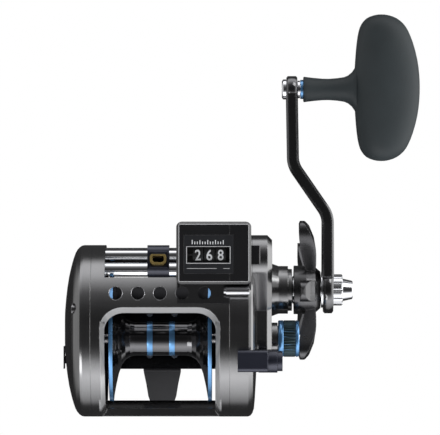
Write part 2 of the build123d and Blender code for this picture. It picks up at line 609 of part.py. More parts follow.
# ---------------------------------------------------------------------------
# Clutch yoke, pins, lever and lever shaft
# ---------------------------------------------------------------------------
yoke_gap = YOKE_GROOVE_R + CLEAR
yoke_outline = hull((0, 6.8, 4.6), (0, -6.8, 4.6)) + hull((0, 4, 4.6), (-5.0, 8.6, 1.6))
yoke = prism_x(yoke_outline, 39.35, 40.65)
yoke -= cyl_x(39, 41, yoke_gap)
yoke -= block(39, 41, 0, 12, -yoke_gap, yoke_gap)
yoke_pins = [cyl_x(38.0, 41.6, PIN_R, 0, z) for z in YOKE_PIN_Z]
pin_holes = [cyl_x(38, 42, PIN_R + CLEAR, 0, z) for z in YOKE_PIN_Z]
yoke -= pin_holes[0] + pin_holes[1]

lever_shaft = (cyl_x(38.4, 57.0, LEVER_SHAFT_R, *LEVER) + cyl_x(38.3, 39.2, 3.2, *LEVER)
               + cyl_x(55.0, 57.4, 4.8, *LEVER))
lever = prism_x(hull((*LEVER, 5.5), (-9.6, 36, 3.6)), 46.2, 50.4)
lever += cyl_x(50.2, 55.0, 5.5, *LEVER)
lever += prism_x(hull((-12.4, 40.6, 1.9), (-5.9, 40.6, 1.9)), 36.2, 50.1)    # thumb pad
lever -= cyl_x(40, 60, LEVER_SHAFT_R, *LEVER)

# ---------------------------------------------------------------------------
# Tension knob, fluted round its rim
# ---------------------------------------------------------------------------
tension_knob = turned([(55.6, 0), (55.6, 8.3), (56.0, 8.7), (65.0, 8.7), (65.5, 8.2),
                       (65.5, 0)])
tension_knob -= cyl_x(55, 62.0, 6.0 + CLEAR)
tension_knob -= turned([(65.6, 0), (65.6, 6.6), (65.0, 6.3), (65.0, 0)])
for point in ring_points(30, 8.8):
    tension_knob -= cyl_x(58.2, 63.7, 0.42, *point)

# ---------------------------------------------------------------------------
# Level wind
# ---------------------------------------------------------------------------
big_phase = mesh_phase(SPOOL_GEAR_PHASE, SPOOL_GEAR_TEETH, SPOOL, IDLER_BIG_TEETH, IDLER)
SMALL_PHASE = 0.0
WORM_PINION_PHASE = 0.0
worm_phase = mesh_phase(SMALL_PHASE, IDLER_SMALL_TEETH, IDLER, WORM_GEAR_TEETH, WORM)

worm_shaft = cyl_x(-27.3, 27.3, 2.3, *WORM) + cyl_x(-36.3, 37.3, WORM_END_R, *WORM)
worm_gear = gear(WORM_GEAR_TEETH, WIND_MODULE, worm_phase, -36.0, -33.8, *WORM,
                 bore=WORM_END_R + SLIP)
worm_pinion = gear(WORM_PINION_TEETH, COUNTER_MODULE, WORM_PINION_PHASE, 35.4, 37.3, *WORM,
                   bore=WORM_END_R + SLIP)
idler = (gear(IDLER_BIG_TEETH, WIND_MODULE, big_phase, *TRAIN_X, *IDLER)
         + gear(IDLER_SMALL_TEETH, WIND_MODULE, SMALL_PHASE, TRAIN_X[1], -33.6, *IDLER))
idler -= cyl_x(-45, -30, IDLER_AXLE_R + CLEAR, *IDLER)
for point in ring_points(5, 10.6, IDLER):
    idler -= cyl_x(-40, -36.4, 2.2, *point)

car_x0, car_x1 = CARRIAGE_X - CARRIAGE_W / 2, CARRIAGE_X + CARRIAGE_W / 2
car_back_y, car_front_y = WORM[0] + 1.6, ROD[0] + 0.4
carriage = prism_x(hull((car_back_y, 10.6, 5.0), (car_back_y, 7.6, 5.0),
                        (car_front_y, 9.6, 4.4), (car_front_y, 6.9, 4.4)), car_x0, car_x1)
carriage += block(car_x0 + 1.0, car_x1 - 1.0, 34.0, 41.4, 12.5, 17.2)
carriage += cyl_z(0.8, 6, 3.2, CARRIAGE_X, WORM[0])
carriage -= cyl_x(car_x0 - 1, car_x1 + 1, TUBE_R + CLEAR, *WORM)
carriage -= cyl_x(car_x0 - 1, car_x1 + 1, ROD_R + CLEAR, *ROD)
carriage -= cyl_z(1.8, 8, 1.56, CARRIAGE_X, WORM[0])
worm_pawl = cyl_z(2.0, 7.2, 1.5, CARRIAGE_X, WORM[0])
worm_pawl += block(CARRIAGE_X - 0.4, CARRIAGE_X + 0.4, WORM[0] - 1.3, WORM[0] + 1.3, 7.0, 7.6)

# rounded rectangular line guide, its axis 68 degrees above +Y
ring_outer = RectangleRounded(7.8, 5.6, 2.0)
ring_inner = RectangleRounded(5.4, 3.4, 1.2)
ring_tilt = math.radians(68)
ring_plane = Plane(origin=(CARRIAGE_X, 37.6, 17.0), x_dir=(1, 0, 0),
                   z_dir=(0, math.cos(ring_tilt), math.sin(ring_tilt)))
guide_ring = extrude(ring_plane * (ring_outer - ring_inner), amount=1.2, both=True)
carriage -= extrude(ring_plane * ring_outer, amount=1.2, both=True)
carriage -= extrude(ring_plane * ring_inner, amount=9, both=True)

# ---------------------------------------------------------------------------
# Line counter: one rounded case, split at the seam into housing and drive case
# ---------------------------------------------------------------------------
case = Pos(sum(COUNTER_X) / 2, sum(COUNTER_Y) / 2, 0) * prism_z(
    RectangleRounded(COUNTER_X[1] - COUNTER_X[0], COUNTER_Y[1] - COUNTER_Y[0], 2.6), *COUNTER_Z)
case = chamfer(edges_at(case, "Z", COUNTER_Z[1]), 1.1)
panel_recess = block(*PANEL, PANEL_Z, 46)

housing = case & block(0, SEAM_X, 20, 60, 20, 50)
# thin skirt lying on the frame behind the case
housing += (prism_x(body_outline(BODY_R + 0.8) - body_outline(BODY_R), 8.0, SEAM_X)
            & block(8.0, SEAM_X, 17.3, 27.2, 28, 40))
housing -= prism_x(body_outline(BODY_R), 0, SEAM_X)
for i in (1, 2):
    housing -= cyl_z(30, 40, HOLE_R, i * HOLE_PITCH, HOLE_Y)
housing -= block(9.6, SEAM_X + 1, *CAVITY) - prism_x(body_outline(BODY_R + 1.8), 0, 40)
housing -= panel_recess
housing -= block(*WINDOW, 43, 46)
housing -= cyl_x(8.5, 12, WHEEL_AXLE_R + FIT, *WHEEL)

BUTTON = (35.7, 44.5, 33.6, 39.6)        # y and z spans
drive_case = case & block(SEAM_X, 50, 20, 60, 20, 50)
drive_case += (prism_x(Pos(*COUNTER_IDLER) * Circle(15.4), SEAM_X, COUNTER_X[1])
               & block(SEAM_X, COUNTER_X[1], 20, 60, 8, 42))
drive_case -= plate_solid
drive_case -= cyl_x(30, POCKET_END, CIDLER_POCKET_R, *COUNTER_IDLER)
drive_case -= block(SEAM_X - 1, 40.7, *CAVITY) - plate_solid
drive_case -= cyl_x(37.0, 41.1, CIDLER_AXLE_R + FIT, *COUNTER_IDLER)
drive_case -= block(30, PANEL[1], *PANEL[2:], PANEL_Z, 46)
drive_case -= block(40, 50, BUTTON[0] - CLEAR, BUTTON[1] + CLEAR,
                    BUTTON[2] - CLEAR, BUTTON[3] + CLEAR)
reset_button = block(41.0, 46.7, *BUTTON)
reset_button = fillet(edges_at(reset_button, "X", 46.7), 0.7)
panel = block(*PANEL, PANEL_Z, 45.0) - block(*WINDOW, 44, 46)
lens = block(*WINDOW, 44.25, 44.75)

wheels = []
for i, x in enumerate(WHEEL_X):
    wheel = prism_x(Pos(*WHEEL) * RegularPolygon(WHEEL_R, 30), x - WHEEL_HALF_W,
                    x + WHEEL_HALF_W)
    if i == 0:
        wheel += gear(WHEEL_TEETH, COUNTER_MODULE, 0.0, 33.2, 35.0, *WHEEL)
        wheel += cyl_x(x + 2, 33.4, 3.0, *WHEEL)
    wheel -= cyl_x(10, 41, WHEEL_AXLE_R + CLEAR, *WHEEL)
    wheels.append(wheel)
counter_idler = gear(
    CIDLER_BIG_TEETH, COUNTER_MODULE,
    mesh_phase(WORM_PINION_PHASE, WORM_PINION_TEETH, WORM, CIDLER_BIG_TEETH, COUNTER_IDLER),
    35.5, 37.2, *COUNTER_IDLER)
counter_idler += gear(
    CIDLER_SMALL_TEETH, COUNTER_MODULE,
    mesh_phase(0.0, WHEEL_TEETH, WHEEL, CIDLER_SMALL_TEETH, COUNTER_IDLER),
    33.0, 35.5, *COUNTER_IDLER)
counter_idler -= cyl_x(30, 41, CIDLER_AXLE_R + CLEAR, *COUNTER_IDLER)
axles = [cyl_x(8.6, 35.2, WHEEL_AXLE_R, *WHEEL),
         cyl_x(33.0, 41.0, CIDLER_AXLE_R, *COUNTER_IDLER),
         cyl_x(-39.4, -29.9, IDLER_AXLE_R, *IDLER),
         cyl_x(38.05, 42.3, PIN_R, *DOG)]
STAY = (23.4, 37.1)
stay_pin = (cyl_x(29.8, 30.8, 1.6, *STAY) + cyl_x(30.8, 41.6, 2.2, *STAY)
            + (block(33.5, 40.5, 22.2, 23.5, 32.8, 36) - plate_solid))

# ---------------------------------------------------------------------------
# Click button, click pawl and anti-reverse dog
# ---------------------------------------------------------------------------
click_button = block(-46.2, -45.65, -14.2, -3.6, -3.4, 3.4)
click_button = click_button + block(-45.8, -41.6, -11.8, -8.2, -1.5, 1.5)
click_pawl = block(-41.6, -39.7, -11.4, -9.2, -0.7, 0.7)
dog = prism_x(hull((*DOG, 1.9), (11.0, -15.5, 1.2)), 40.5, 41.9)
dog -= cyl_x(40, 43, PIN_R + CLEAR, *DOG)

# ---------------------------------------------------------------------------
# Export, one file per node
# ---------------------------------------------------------------------------
# nodes whose cuts may leave loose slivers: only the largest solid is kept
LARGEST_ONLY = ("gear_cover", "counter_drive_case", "clutch_yoke")


def export_node(name, shape):
    solids = [solid for solid in shape.solids() if solid.volume > 0.5]
    if name in LARGEST_ONLY:
        solids = [max(solids, key=lambda solid: solid.volume)]
    lifted = [Pos(0, 0, AXIS_H) * solid for solid in solids]
    node = lifted[0] if len(lifted) == 1 else Compound(lifted)
    export_step(node, f"parts/{name}.step")


NODES = {
    "frame": frame, "reel_foot": foot, "foot_screws": group(foot_screws),
    "left_side_cover": left_cover, "side_screws": group(side_screws),
    "right_side_plate": plate,
    "gear_cover": cover, "gear_cover_screws": group(cover_screws),
    "spool_bearings": group(bearings), "bushes": group(bushes),
    "levelwind_tube": wind_tube, "guide_rod": guide_rod, "roller_clutch": roller_clutch,
    "counter_housing": housing, "counter_drive_case": drive_case, "counter_panel": panel,
    "counter_lens": lens, "counter_stay_pin": stay_pin, "axles": group(axles),
    "yoke_pins": group(yoke_pins),
    "drive_shaft": drive_shaft, "ratchet_wheel": ratchet, "main_gear": main_gear,
    "friction_washers": group(friction_washers), "keyed_washers": group(keyed_washers),
    "clutch_sleeve": sleeve, "spring_washer": spring_washer, "arm_washer": arm_washer,
    "handle_arm": arm, "handle_nut": handle_nut,
    "knob_spindle": knob_spindle, "knob_screw": knob_screw,
    "star_wheel": star, "star_nut": star_nut,
    "knob_grip": grip, "knob_collar": knob_collar,
    "spool": spool, "spool_shaft": spool_shaft,
    "levelwind_drive_gear": spool_gear, "click_gear": click_gear,
    "pinion_gear": pinion, "clutch_yoke": yoke,
    "clutch_lever": lever, "lever_shaft": lever_shaft,
    "tension_knob": tension_knob, "worm_shaft": worm_shaft,
    "worm_gear": worm_gear, "counter_pinion": worm_pinion,
    "levelwind_idler": idler, "line_guide_carriage": carriage,
    "guide_ring": guide_ring, "worm_pawl": worm_pawl,
    "counter_idler": counter_idler, "units_wheel": wheels[0], "tens_wheel": wheels[1],
    "hundreds_wheel": wheels[2], "reset_button": reset_button,
    "click_button": click_button, "click_pawl": click_pawl, "antireverse_dog": dog,
}
for name, shape in NODES.items():
    export_node(name, shape)
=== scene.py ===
"""A fishing reel with a line counter, seen from straight above.

The spool turns about a line parallel to X at y = 0. The crank and its T grip are at the +X end,
with the crank reaching toward +Y. The counter faces up (+Z). Placements are in metres;
profiles, stations and the other tables marked mm are in millimetres.
"""
import math

import bpy
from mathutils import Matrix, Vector


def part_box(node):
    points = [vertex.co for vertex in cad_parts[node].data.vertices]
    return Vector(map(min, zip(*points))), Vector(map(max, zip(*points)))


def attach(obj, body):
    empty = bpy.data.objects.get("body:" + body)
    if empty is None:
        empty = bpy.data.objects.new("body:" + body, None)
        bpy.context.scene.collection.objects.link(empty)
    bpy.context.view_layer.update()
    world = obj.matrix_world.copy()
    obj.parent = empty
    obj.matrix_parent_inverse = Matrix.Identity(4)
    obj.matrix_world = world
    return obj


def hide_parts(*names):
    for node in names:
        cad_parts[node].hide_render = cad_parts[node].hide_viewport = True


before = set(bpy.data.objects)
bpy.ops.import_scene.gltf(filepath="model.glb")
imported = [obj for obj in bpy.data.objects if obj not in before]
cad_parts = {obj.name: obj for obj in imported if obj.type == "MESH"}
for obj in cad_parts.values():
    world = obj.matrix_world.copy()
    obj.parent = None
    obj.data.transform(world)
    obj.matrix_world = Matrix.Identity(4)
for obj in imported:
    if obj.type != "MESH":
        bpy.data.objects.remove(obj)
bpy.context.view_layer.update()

SPOOL_Z = 0.042
SHAFT_Z = SPOOL_Z - 0.01133
# turning axes parallel to X, as (y, z)
SPOOL_AXIS = (0, SPOOL_Z)
SHAFT_AXIS = (0.0229, SHAFT_Z)
KNOB_AXIS = (0.1187, SHAFT_Z)


# ---------------------------------------------------------------- node helpers
def plug(tree, node, inputs):
    """Link each input that is given a socket, and set the others."""
    for key, value in inputs.items():
        if isinstance(value, bpy.types.NodeSocket):
            tree.links.new(value, node.inputs[key])
        else:
            node.inputs[key].default_value = value


def add_node(tree, kind, inputs=None, **settings):
    node = tree.nodes.new("ShaderNode" + kind)
    for setting, value in settings.items():
        setattr(node, setting, value)
    plug(tree, node, inputs or {})
    return node


def map_range(tree, source, start=0.0, end=1.0, low=0.0, high=1.0, **settings):
    """Output that goes from low to high as the source goes from start to end."""
    inputs = {"Value": source, "From Min": start, "From Max": end, "To Min": low, "To Max": high}
    return add_node(tree, "MapRange", inputs, **settings).outputs["Result"]


def mix_colour(tree, factor, first, second):
    inputs = {"Factor": factor, "A": first, "B": second}
    return add_node(tree, "Mix", inputs, data_type="RGBA").outputs["Result"]


def math_node(tree, operation, *values):
    return add_node(tree, "Math", dict(enumerate(values)), operation=operation).outputs[0]


def noise(tree, vector, scale, detail):
    inputs = {"Vector": vector, "Scale": scale, "Detail": detail}
    return add_node(tree, "TexNoise", inputs).outputs["Fac"]


def new_material(name):
    material = bpy.data.materials.new(name)
    material.use_nodes = True
    MATERIALS[name] = material
    return material.node_tree


# ---------------------------------------------------------------- materials
MATERIALS = {}


def finish(name, base, metallic=0.0, rough=0.4, coat=0.0, coat_rough=0.1, grain=0.0,
           grain_scale=4000.0, rough_spread=0.06, bevel=0.00025, stretch=None, tint=0.12, spec=0.5):
    """Surface with broad tone and roughness variation, fine grain and softened edges.

    rough_spread and tint are how far the roughness and the tone vary either way; grain is the
    bump strength; stretch scales the noise along each axis; bevel is the edge radius.
    """
    tree = new_material(name)
    surface = tree.nodes["Principled BSDF"]
    plug(tree, surface, {
        "Base Color": (*base, 1), "Metallic": metallic, "Roughness": rough,
        "Coat Weight": coat, "Coat Roughness": coat_rough, "Specular IOR Level": spec})
    coordinates = add_node(tree, "TexCoord").outputs["Object"]
    mapping = add_node(tree, "Mapping", {"Vector": coordinates})
    if stretch:
        mapping.inputs["Scale"].default_value = stretch
    vector = mapping.outputs["Vector"]

    wear = noise(tree, vector, scale=60.0, detail=5.0)
    roughness = map_range(tree, wear, low=rough - rough_spread, high=rough + rough_spread)
    dark = (*[channel * (1 - tint) for channel in base], 1)
    light = (*[channel * (1 + tint) for channel in base], 1)
    colour = mix_colour(tree, wear, dark, light)

    height = noise(tree, vector, scale=grain_scale, detail=3.0)
    bump = add_node(tree, "Bump", {"Strength": grain, "Distance": 0.00005, "Height": height})
    if bevel:
        edge = add_node(tree, "Bevel", {"Radius": bevel}, samples=4)
        plug(tree, bump, {"Normal": edge.outputs["Normal"]})
    plug(tree, surface, {
        "Roughness": roughness, "Base Color": colour, "Normal": bump.outputs["Normal"]})


GUNMETAL = dict(base=(0.21, 0.21, 0.212), metallic=0.97, rough=0.2, coat=0.3, coat_rough=0.12,
                grain=0.12, grain_scale=6000, rough_spread=0.03, bevel=0.0005)


def clear_window():
    """See-through sheet with a faint, slightly uneven gloss."""
    tree = new_material("clear_window")
    tree.nodes.clear()
    output = add_node(tree, "OutputMaterial")
    see_through = add_node(tree, "BsdfTransparent")
    gloss = add_node(tree, "BsdfGlossy", {"Roughness": 0.04})
    patches = add_node(tree, "TexNoise", {"Scale": 300}).outputs["Fac"]
    share = map_range(tree, patches, low=0.03, high=0.07)
    mix = add_node(tree, "MixShader", {
        "Fac": share, 1: see_through.outputs[0], 2: gloss.outputs[0]})
    plug(tree, output, {"Surface": mix.outputs[0]})


def frame_metal():
    """Gunmetal with painted shade, near black, on the inner face of the lower plate and a painted
    highlight, light grey, on the sloping faces round the top opening.
    """
    finish("frame_metal", **GUNMETAL)
    tree = MATERIALS["frame_metal"].node_tree
    surface = tree.nodes["Principled BSDF"]
    plain = surface.inputs["Base Color"].links[0].from_socket
    geometry = add_node(tree, "NewGeometry")

    def split(output):
        return add_node(tree, "SeparateXYZ", {0: geometry.outputs[output]}).outputs

    position = split("Position")
    normal = split("Normal")

    # painted shade on the lower plate's inner face: low down and facing up
    low = map_range(tree, position["Z"], start=0.034, end=0.028)
    facing_up = map_range(tree, normal["Z"], start=0.2, end=0.5)
    inner = math_node(tree, "MULTIPLY", low, facing_up)
    # near black here is painted shade under the spool, not the plate's own colour
    colour = mix_colour(tree, inner, plain, (0.012, 0.012, 0.013, 1))
    coat = map_range(tree, inner, low=GUNMETAL["coat"], high=0.0)

    # painted highlight on the sloping faces high up, within the opening's reach in X and Y
    slope = split("True Normal")["Z"]
    side = math_node(tree, "ABSOLUTE", position["X"])
    cut = map_range(tree, slope, start=0.14, end=0.2)
    for source, start, end in ((slope, 0.68, 0.62), (position["Z"], 0.056, 0.06),
                               (side, 0.0288, 0.0286), (position["Y"], 0.0175, 0.0173)):
        cut = math_node(tree, "MULTIPLY", cut, map_range(tree, source, start, end))
    # light grey, less metallic: a painted highlight standing in for light caught on the opening's
    # sloping faces
    colour = mix_colour(tree, cut, colour, (0.42, 0.425, 0.43, 1))
    metallic = map_range(tree, cut, low=GUNMETAL["metallic"], high=0.35)
    plug(tree, surface, {"Base Color": colour, "Coat Weight": coat, "Metallic": metallic})


def make_materials():
    finish("gunmetal", **GUNMETAL)
    finish("foot_grey", (0.05, 0.05, 0.053), metallic=0.6, rough=0.5, grain=0.4)
    finish("black_gloss", (0.01, 0.01, 0.011), rough=0.2, coat=0.8, coat_rough=0.06,
           grain=0.08, grain_scale=5000, bevel=0.0004)
    finish("arm_black", (0.1, 0.1, 0.103), metallic=0.95, rough=0.16, coat=1.0, coat_rough=0.05,
           grain=0.05, grain_scale=5000, bevel=0.0012)
    finish("star_black", (0.075, 0.075, 0.078), metallic=0.9, rough=0.26, coat=0.5,
           grain=0.1, grain_scale=5000, bevel=0.0006)
    finish("spool_black", (0.09, 0.09, 0.095), metallic=0.95, rough=0.15, coat=0.6,
           coat_rough=0.05, grain=0.04, grain_scale=5000, bevel=0.0003)
    finish("slate", (0.034, 0.037, 0.055), metallic=0.6, rough=0.3, coat=0.4, coat_rough=0.2,
           grain=0.25, grain_scale=7000, bevel=0.0006)
    finish("chrome", (0.82, 0.83, 0.85), metallic=1.0, rough=0.09, grain=0.03,
           rough_spread=0.03, bevel=0.0002, tint=0.04)
    finish("steel", (0.58, 0.58, 0.6), metallic=1.0, rough=0.24, grain=0.2, grain_scale=3000,
           stretch=(1, 12, 12), bevel=0.0002)
    finish("brass", (0.6, 0.44, 0.16), metallic=1.0, rough=0.2, grain=0.1, bevel=0.0002)
    finish("blue", (0.12, 0.3, 0.56), metallic=0.7, rough=0.25, coat=0.4, coat_rough=0.08,
           grain=0.1, grain_scale=5000, bevel=0.0002)
    finish("grip", (0.024, 0.031, 0.034), rough=0.6, grain=0.8, grain_scale=3500,
           rough_spread=0.08, bevel=0, tint=0.25, spec=0.35)
    finish("plastic", (0.03, 0.03, 0.034), rough=0.45, grain=0.3)
    finish("wheel", (0.012, 0.012, 0.013), grain=0.2, bevel=0.0002)
    finish("ink", (0.72, 0.74, 0.76), rough=0.5, grain=0.2, bevel=0)
    finish("panel", (0.02, 0.021, 0.024), metallic=0.3, rough=0.35, coat=0.5, grain=0.1,
           bevel=0.0001)
    # light grey used for the painted highlights along the counter's face and window edges, and for
    # the panel rules
    finish("rim", (0.5, 0.505, 0.515), metallic=0.1, grain=0.1, bevel=0.0001)
    finish("knurl", (0.03, 0.05, 0.058), metallic=0.85, rough=0.38, grain=0.4, bevel=0.0001)
    clear_window()
    frame_metal()


# material: the loaded pieces that wear it
LOOKS = {
    "frame_metal": "frame",
    "gunmetal": "left_side_cover right_side_plate gear_cover",
    "foot_grey": "reel_foot",
    "black_gloss": "counter_housing counter_drive_case reset_button click_button",
    "arm_black": "handle_arm",
    "star_black": "star_wheel",
    "spool_black": "spool",
    "slate": "clutch_lever line_guide_carriage lever_shaft",
    "chrome": "levelwind_tube guide_rod handle_nut knob_screw knob_spindle arm_washer "
              "spring_washer",
    "steel": "foot_screws side_screws gear_cover_screws spool_bearings drive_shaft ratchet_wheel "
             "keyed_washers clutch_sleeve spool_shaft pinion_gear worm_shaft roller_clutch axles "
             "yoke_pins counter_stay_pin worm_pawl star_nut click_pawl antireverse_dog "
             "clutch_yoke",
    "brass": "main_gear bushes guide_ring worm_gear",
    "blue": "tension_knob knob_collar",
    "grip": "knob_grip",
    "plastic": "friction_washers levelwind_idler levelwind_drive_gear click_gear counter_pinion "
               "counter_idler",
    "wheel": "units_wheel tens_wheel hundreds_wheel",
    "panel": "counter_panel",
    "clear_window": "counter_lens",
}


def dress_loaded_pieces():
    for material, pieces in LOOKS.items():
        for piece in pieces.split():
            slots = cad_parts[piece].data.materials
            slots.clear()
            slots.append(MATERIALS[material])


# ---------------------------------------------------------------- mesh helpers
def link_object(name, data):
    made = bpy.data.objects.new(name, data)
    bpy.context.scene.collection.objects.link(made)
    return made


def add_piece(name, vertices, faces, material, body, smooth=True, subdivisions=0):
    mesh = bpy.data.meshes.new(name)
    mesh.from_pydata(vertices, [], faces)
    mesh.update()
    if smooth:
        for polygon in mesh.polygons:
            polygon.use_smooth = True
    piece = link_object(name, mesh)
    mesh.materials.append(MATERIALS[material])
    if subdivisions:
        modifier = piece.modifiers.new("sub", "SUBSURF")
        modifier.levels = modifier.render_levels = subdivisions
    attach(piece, body)
    return piece


def grid_faces(rows, columns, close_rows=True, close_columns=True):
    """Quads over a grid of vertices stored row by row, closed round either way."""
    faces = []
    for row in range(rows if close_rows else rows - 1):
        here, there = row * columns, (row + 1) % rows * columns
        for column in range(columns if close_columns else columns - 1):
            beside = (column + 1) % columns
            faces.append((here + column, here + beside, there + beside, there + column))
    return faces


def loft_faces(rings, sides):
    """Skin over a row of closed rings, capped at both ends."""
    caps = [tuple(range(sides - 1, -1, -1)), tuple(range((rings - 1) * sides, rings * sides))]
    return grid_faces(rings, sides, close_rows=False) + caps


def turned(name, profile, axis, material, body, segments=96, dip=None):
    """Closed profile turned about an axis parallel to X.

    Profile points are (x, radius) or (x, half width in Y, half width in Z), mm.
    dip(x, step) is how far a point sinks toward the axis, mm.
    """
    vertices = []
    for step in range(segments):
        angle = math.tau * step / segments
        for x, *radii in profile:
            sunk = dip(x, step) if dip else 0.0
            vertices.append((x / 1000,
                             axis[0] + (radii[0] - sunk) / 1000 * math.cos(angle),
                             axis[1] + (radii[-1] - sunk) / 1000 * math.sin(angle)))
    faces = grid_faces(segments, len(profile))
    return add_piece(name, vertices, faces, material, body)


# ---------------------------------------------------------------- T grip
GRIP_MIDDLE_Y = 0.1195
GRIP_SIDES = 40
GRIP_SQUARENESS = 0.9  # superellipse power: 1 is an ellipse, less is squarer
# -Y half of the bar, mm: y from the middle, least x, greatest x, height in Z
GRIP_HALF = [
    (-35.05, 103.6, 106.6, 5), (-34.6, 101.2, 109.0, 10), (-33.4, 97.8, 112.6, 17.5),
    (-30.5, 95.4, 116.0, 21.6), (-27.6, 94.2, 117.9, 23.2), (-21.9, 93.2, 120.3, 24.6),
    (-13.3, 92.5, 122.6, 25.4), (-6, 92.1, 123.4, 25.8), (0, 92.0, 123.6, 26),
]
# (x, half width in Y, half width in Z), mm: flares into the bar at +X, closed onto the bore
GRIP_STEM = [
    (67.8, 2.7, 2.7), (67.8, 5.7, 5.7), (68.1, 6.1, 6.1), (70, 5.85, 5.85), (73, 5.5, 5.5),
    (77, 5.15, 5.15), (80, 5.1, 5.1), (84, 5.4, 5.35), (87.3, 5.9, 5.7), (89.2, 6.7, 6.1),
    (91, 8.2, 6.5), (92.4, 10.3, 6.6), (93.4, 13.0, 6.2), (95.2, 17.0, 5.2), (98, 17.0, 4.0),
    (98, 2.7, 2.7),
]


def rounded(value):
    return math.copysign(abs(value) ** GRIP_SQUARENESS, value)


def build_grip():
    stations = GRIP_HALF + [(-y, *rest) for y, *rest in reversed(GRIP_HALF[:-1])]
    vertices = []
    for y, x_min, x_max, height in stations:
        for side in range(GRIP_SIDES):
            angle = math.tau * side / GRIP_SIDES
            x = rounded(math.cos(angle)) * (x_max - x_min) / 2 + (x_min + x_max) / 2
            z = rounded(math.sin(angle)) * height / 2
            vertices.append((x / 1000, GRIP_MIDDLE_Y + y / 1000, SHAFT_Z + z / 1000))
    bar = add_piece("grip_bar", vertices, loft_faces(len(stations), GRIP_SIDES), "grip", "knob",
                    subdivisions=1)
    turned("grip_stem", GRIP_STEM, KNOB_AXIS, "grip", "knob", segments=72)
    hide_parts("knob_grip")


# ---------------------------------------------------------------- crank arm, mm
CRANK_CORNERS = [(79.45, 29.0), (79.45, 58.6), (62.9, 82.6), (62.3, 118.0)]  # centre line (x, y)
CRANK_BEND_RADIUS = 12.0
CRANK_TAPER = [(29.0, 10.3), (52.0, 7.2), (118.0, 6.1)]  # (y, half height in Z)
CRANK_HALF_THICKNESS = 2.8
CRANK_CHAMFER = 0.8
# (x, radius)
HUB = [(77.2, 4.05), (77.2, 10.4), (77.9, 11.2), (81.3, 11.2), (82.0, 10.4), (82.0, 4.05)]
EYE = [(59.75, 2.65), (59.75, 5.7), (60.4, 6.4), (64.3, 6.4), (64.9, 5.7), (64.9, 2.65)]


def unit(start, end):
    dx, dy = end[0] - start[0], end[1] - start[1]
    length = math.hypot(dx, dy)
    return dx / length, dy / length


def fillet(points, radius, steps=10):
    """Polyline with each inner corner rounded to an arc."""
    line = [points[0]]
    for before, corner, after in zip(points[:-2], points[1:-1], points[2:]):
        back, ahead = unit(corner, before), unit(corner, after)
        half_angle = math.acos(back[0] * ahead[0] + back[1] * ahead[1]) / 2
        tangent = radius / math.tan(half_angle)
        bisector = unit((0, 0), (back[0] + ahead[0], back[1] + ahead[1]))
        cx, cy = (corner[i] + bisector[i] * radius / math.sin(half_angle) for i in (0, 1))
        first, last = (math.atan2(corner[1] + way[1] * tangent - cy,
                                  corner[0] + way[0] * tangent - cx) for way in (back, ahead))
        sweep = (last - first + math.pi) % math.tau - math.pi
        for step in range(steps + 1):
            angle = first + sweep * step / steps
            line.append((cx + radius * math.cos(angle), cy + radius * math.sin(angle)))
    return line + [points[-1]]


def crank_section(y):
    """Chamfered rectangle as (across, z)."""
    (y0, h0), (y1, h1) = CRANK_TAPER[:2] if y < CRANK_TAPER[1][0] else CRANK_TAPER[1:]
    high = h0 - (y - y0) / (y1 - y0) * (h0 - h1)
    wide, cut = CRANK_HALF_THICKNESS, CRANK_CHAMFER
    return [(-wide + cut, high), (wide - cut, high), (wide, high - cut), (wide, -high + cut),
            (wide - cut, -high), (-wide + cut, -high), (-wide, -high + cut), (-wide, high - cut)]


def build_crank():
    path = fillet(CRANK_CORNERS, CRANK_BEND_RADIUS)
    vertices = []
    for i, (x, y) in enumerate(path):
        along_x, along_y = unit(path[max(i - 1, 0)], path[min(i + 1, len(path) - 1)])
        for across, z in crank_section(y):
            vertices.append(((x + along_y * across) / 1000, (y - along_x * across) / 1000,
                             SHAFT_Z + z / 1000))
    arm = add_piece("crank_arm", vertices, loft_faces(len(path), 8), "arm_black", "drive",
                    smooth=False)
    turned("crank_hub", HUB, SHAFT_AXIS, "arm_black", "drive")
    turned("crank_eye", EYE, KNOB_AXIS, "arm_black", "drive")
    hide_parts("handle_arm")


# ---------------------------------------------------------------- tension knob, mm
# (x, radius): two rims with a lower seat between them, hollow from the -X end
TENSION_DIAL = [
    (55.6, 6.1), (55.6, 8.3), (55.9, 8.65), (57.9, 8.7), (58.1, 8.3), (63.8, 8.3), (64.0, 8.7),
    (65.1, 8.6), (65.5, 8.2), (65.5, 6.8), (65.1, 6.4), (65.1, 0.05), (62, 0.05), (62, 6.1),
]
TENSION_BAND = [(58.1, 8.2), (58.2, 8.45), (58.4, 8.68), (63.5, 8.68), (63.7, 8.45), (63.8, 8.2)]


def knurl_depth(x, step):
    """Grooves two steps wide, two steps apart, clear of the band's edges."""
    return 0.38 if step % 4 in (0, 1) and 58.3 < x < 63.6 else 0.0


def build_tension_knob():
    dial = turned("tension_dial", TENSION_DIAL, SPOOL_AXIS, "blue", "tension")
    turned("tension_band", TENSION_BAND, SPOOL_AXIS, "knurl", "tension", segments=160,
           dip=knurl_depth)
    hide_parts("tension_knob")


# ---------------------------------------------------------------- blue bands on the spool, mm
# prefix, distance of the near and far edges from x = 0, radius
SPOOL_BANDS = [("", 22.35, 24.15, 29.5), ("a", 3.9, 6.6, 8.1)]


def build_spool_bands():
    for prefix, near, far, radius in SPOOL_BANDS:
        for end, x0, x1 in (("l", -far, -near), ("r", near, far)):
            profile = [(x0, radius - 0.1), (x0, radius + 0.04), (x0 + 0.1, radius + 0.07),
                       (x1 - 0.1, radius + 0.07), (x1, radius + 0.04), (x1, radius - 0.1)]
            turned("spool_band_" + prefix + end, profile, SPOOL_AXIS, "blue", "spool",
                   segments=160)


# ---------------------------------------------------------------- counter figures, metres
FIGURE_Y = 0.0401
FIGURE_HEIGHT = 0.005
FIGURE_MAX_WIDTH = 0.0027
FIGURE_LIFT = 0.00002
CAPITAL_SHARE = 0.72  # height of a figure over the font size
FIGURES = [("8", 0.0283, "units"), ("6", 0.02305, "tens"), ("2", 0.01775, "hundreds")]


